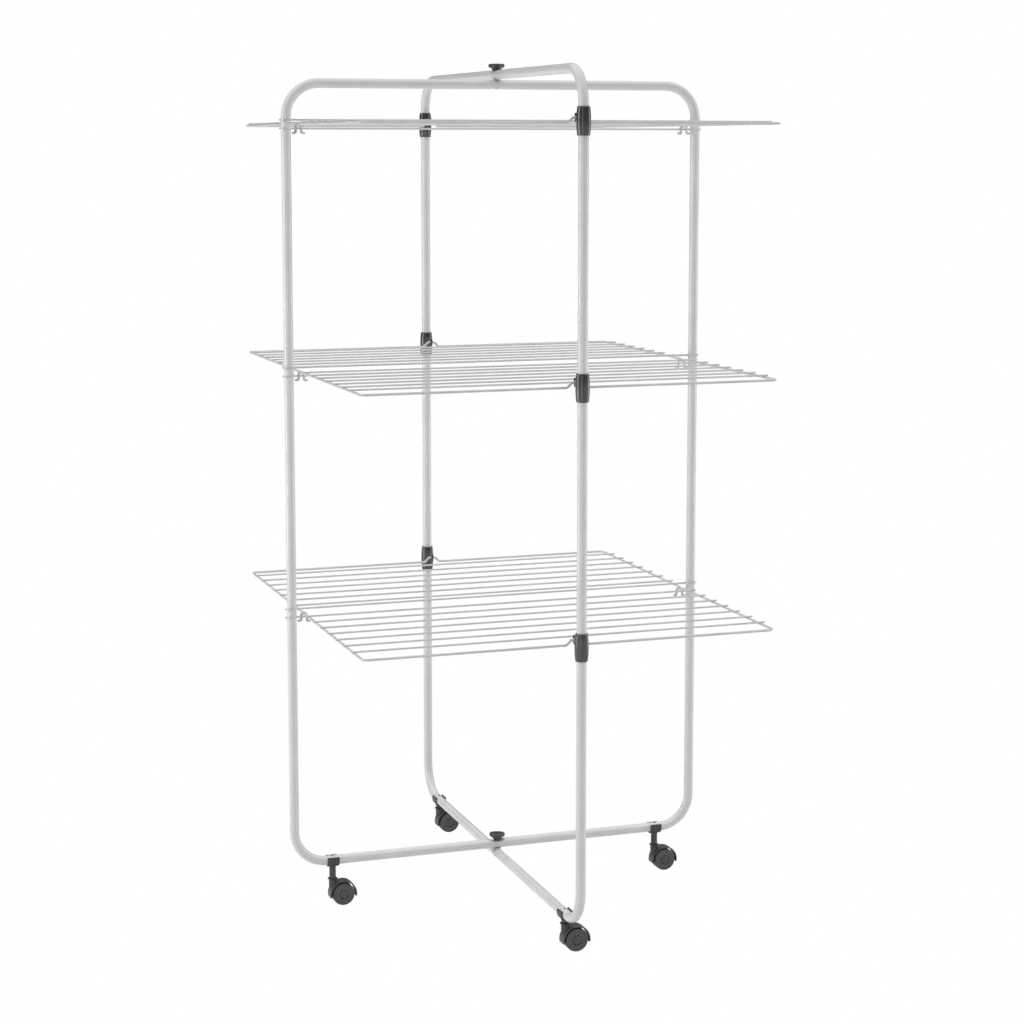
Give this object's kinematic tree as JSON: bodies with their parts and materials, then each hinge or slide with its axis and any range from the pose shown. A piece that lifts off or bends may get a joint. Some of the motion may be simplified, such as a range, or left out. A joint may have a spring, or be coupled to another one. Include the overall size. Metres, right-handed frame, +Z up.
{
  "type": "clothes drying rack",
  "caption": "Folding tower clothes airer: crossed tube frames that pivot together, fold-down wire shelves and swivel castors.",
  "frame": {"origin": "on the floor, at the centre of the plan, under the pivot bolts", "axes": "+Z up along the pivot axis; +X along the inner frame, which is the way the castors trail; -Y is the front half of the outer frame"},
  "size_m": [0.751, 0.8542, 1.4315],
  "materials": {
    "frame_tube": "smooth satin powder coat on steel tube",
    "shelf_wire": "satin powder coat on steel wire",
    "dark_plastic": "fine grained moulded plastic",
    "wheel_plastic": "moulded plastic with a smooth tread",
    "spacer_plastic": "plain grey nylon",
    "plain_steel": "zinc plated steel",
    "dark_pin": "blackened steel"
  },
  "bodies": {
    "inner_frame_body": {"inner_frame": "frame_tube", "top_bolt": "plain_steel", "top_spacer": "spacer_plastic", "bottom_spacer": "spacer_plastic", "lower_middle_rod": "shelf_wire", "lower_hinge_rod": "shelf_wire", "middle_middle_rod": "shelf_wire", "middle_hinge_rod": "shelf_wire", "upper_middle_rod": "shelf_wire", "upper_hinge_rod": "shelf_wire", "left_castor_holder": "dark_plastic", "left_castor_pin": "dark_pin", "right_castor_holder": "dark_plastic", "right_castor_pin": "dark_pin"},
    "outer_frame_body": {"outer_frame": "frame_tube", "bottom_bolt": "plain_steel", "lower_front_collar": "dark_plastic", "lower_back_collar": "dark_plastic", "middle_front_collar": "dark_plastic", "middle_back_collar": "dark_plastic", "upper_front_collar": "dark_plastic", "upper_back_collar": "dark_plastic", "front_castor_holder": "dark_plastic", "front_castor_pin": "dark_pin", "back_castor_holder": "dark_plastic", "back_castor_pin": "dark_pin"},
    "lower_front_shelf_body": {"lower_front_shelf": "shelf_wire"},
    "lower_back_shelf_body": {"lower_back_shelf": "shelf_wire"},
    "middle_front_shelf_body": {"middle_front_shelf": "shelf_wire"},
    "middle_back_shelf_body": {"middle_back_shelf": "shelf_wire"},
    "upper_front_shelf_body": {"upper_front_shelf": "shelf_wire"},
    "upper_back_shelf_body": {"upper_back_shelf": "shelf_wire"},
    "top_knob_body": {"top_knob": "dark_plastic"},
    "bottom_knob_body": {"bottom_knob": "dark_plastic"},
    "left_castor_body": {"left_castor_hood": "dark_plastic", "left_castor_axle": "plain_steel"},
    "left_castor_front_wheel_body": {"left_castor_front_wheel": "wheel_plastic"},
    "left_castor_back_wheel_body": {"left_castor_back_wheel": "wheel_plastic"},
    "right_castor_body": {"right_castor_hood": "dark_plastic", "right_castor_axle": "plain_steel"},
    "right_castor_front_wheel_body": {"right_castor_front_wheel": "wheel_plastic"},
    "right_castor_back_wheel_body": {"right_castor_back_wheel": "wheel_plastic"},
    "front_castor_body": {"front_castor_hood": "dark_plastic", "front_castor_axle": "plain_steel"},
    "front_castor_front_wheel_body": {"front_castor_front_wheel": "wheel_plastic"},
    "front_castor_back_wheel_body": {"front_castor_back_wheel": "wheel_plastic"},
    "back_castor_body": {"back_castor_hood": "dark_plastic", "back_castor_axle": "plain_steel"},
    "back_castor_front_wheel_body": {"back_castor_front_wheel": "wheel_plastic"},
    "back_castor_back_wheel_body": {"back_castor_back_wheel": "wheel_plastic"}
  },
  "joints": [
    {"name": "frame_fold", "type": "hinge", "parent": "inner_frame_body", "child": "outer_frame_body", "pos_m": [0, 0, 0.0628], "axis": [0, 0, 1], "range_deg": [0, 80]},
    {"name": "lower_front_shelf_fold", "type": "hinge", "parent": "inner_frame_body", "child": "lower_front_shelf_body", "pos_m": [0, 0, 0.5073], "axis": [1, 0, 0], "range_deg": [0, 88]},
    {"name": "lower_back_shelf_fold", "type": "hinge", "parent": "inner_frame_body", "child": "lower_back_shelf_body", "pos_m": [0, 0, 0.5073], "axis": [1, 0, 0], "range_deg": [-88, 0]},
    {"name": "middle_front_shelf_fold", "type": "hinge", "parent": "inner_frame_body", "child": "middle_front_shelf_body", "pos_m": [0, 0, 0.915], "axis": [1, 0, 0], "range_deg": [0, 88]},
    {"name": "middle_back_shelf_fold", "type": "hinge", "parent": "inner_frame_body", "child": "middle_back_shelf_body", "pos_m": [0, 0, 0.915], "axis": [1, 0, 0], "range_deg": [-88, 0]},
    {"name": "upper_front_shelf_fold", "type": "hinge", "parent": "inner_frame_body", "child": "upper_front_shelf_body", "pos_m": [0, 0, 1.3227], "axis": [1, 0, 0], "range_deg": [0, 88]},
    {"name": "upper_back_shelf_fold", "type": "hinge", "parent": "inner_frame_body", "child": "upper_back_shelf_body", "pos_m": [0, 0, 1.3227], "axis": [1, 0, 0], "range_deg": [-88, 0]},
    {"name": "top_knob_turn", "type": "hinge", "parent": "inner_frame_body", "child": "top_knob_body", "pos_m": [0, 0, 1.4215], "axis": [0, 0, 1], "continuous": true},
    {"name": "bottom_knob_turn", "type": "hinge", "parent": "outer_frame_body", "child": "bottom_knob_body", "pos_m": [0, 0, 0.0875], "axis": [0, 0, 1], "continuous": true},
    {"name": "left_castor_swivel", "type": "hinge", "parent": "inner_frame_body", "child": "left_castor_body", "pos_m": [-0.298, 0, 0.0477], "axis": [0, 0, 1], "continuous": true},
    {"name": "left_castor_front_wheel_spin", "type": "hinge", "parent": "left_castor_body", "child": "left_castor_front_wheel_body", "pos_m": [-0.2808, 0, 0.0192], "axis": [0, 1, 0], "continuous": true},
    {"name": "left_castor_back_wheel_spin", "type": "hinge", "parent": "left_castor_body", "child": "left_castor_back_wheel_body", "pos_m": [-0.2808, 0, 0.0192], "axis": [0, 1, 0], "continuous": true},
    {"name": "right_castor_swivel", "type": "hinge", "parent": "inner_frame_body", "child": "right_castor_body", "pos_m": [0.298, 0, 0.0477], "axis": [0, 0, 1], "continuous": true},
    {"name": "right_castor_front_wheel_spin", "type": "hinge", "parent": "right_castor_body", "child": "right_castor_front_wheel_body", "pos_m": [0.3152, 0, 0.0192], "axis": [0, 1, 0], "continuous": true},
    {"name": "right_castor_back_wheel_spin", "type": "hinge", "parent": "right_castor_body", "child": "right_castor_back_wheel_body", "pos_m": [0.3152, 0, 0.0192], "axis": [0, 1, 0], "continuous": true},
    {"name": "front_castor_swivel", "type": "hinge", "parent": "outer_frame_body", "child": "front_castor_body", "pos_m": [0, -0.345, 0.0477], "axis": [0, 0, 1], "continuous": true},
    {"name": "front_castor_front_wheel_spin", "type": "hinge", "parent": "front_castor_body", "child": "front_castor_front_wheel_body", "pos_m": [0.0172, -0.345, 0.0192], "axis": [0, 1, 0], "continuous": true},
    {"name": "front_castor_back_wheel_spin", "type": "hinge", "parent": "front_castor_body", "child": "front_castor_back_wheel_body", "pos_m": [0.0172, -0.345, 0.0192], "axis": [0, 1, 0], "continuous": true},
    {"name": "back_castor_swivel", "type": "hinge", "parent": "outer_frame_body", "child": "back_castor_body", "pos_m": [0, 0.345, 0.0477], "axis": [0, 0, 1], "continuous": true},
    {"name": "back_castor_front_wheel_spin", "type": "hinge", "parent": "back_castor_body", "child": "back_castor_front_wheel_body", "pos_m": [0.0172, 0.345, 0.0192], "axis": [0, 1, 0], "continuous": true},
    {"name": "back_castor_back_wheel_spin", "type": "hinge", "parent": "back_castor_body", "child": "back_castor_back_wheel_body", "pos_m": [0.0172, 0.345, 0.0192], "axis": [0, 1, 0], "continuous": true}
  ],
  "couplings": [
    {"joint": "lower_front_shelf_fold", "follows": "frame_fold", "ratio": 1.1},
    {"joint": "lower_back_shelf_fold", "follows": "frame_fold", "ratio": -1.1},
    {"joint": "middle_front_shelf_fold", "follows": "frame_fold", "ratio": 1.1},
    {"joint": "middle_back_shelf_fold", "follows": "frame_fold", "ratio": -1.1},
    {"joint": "upper_front_shelf_fold", "follows": "frame_fold", "ratio": 1.1},
    {"joint": "upper_back_shelf_fold", "follows": "frame_fold", "ratio": -1.1}
  ]
}
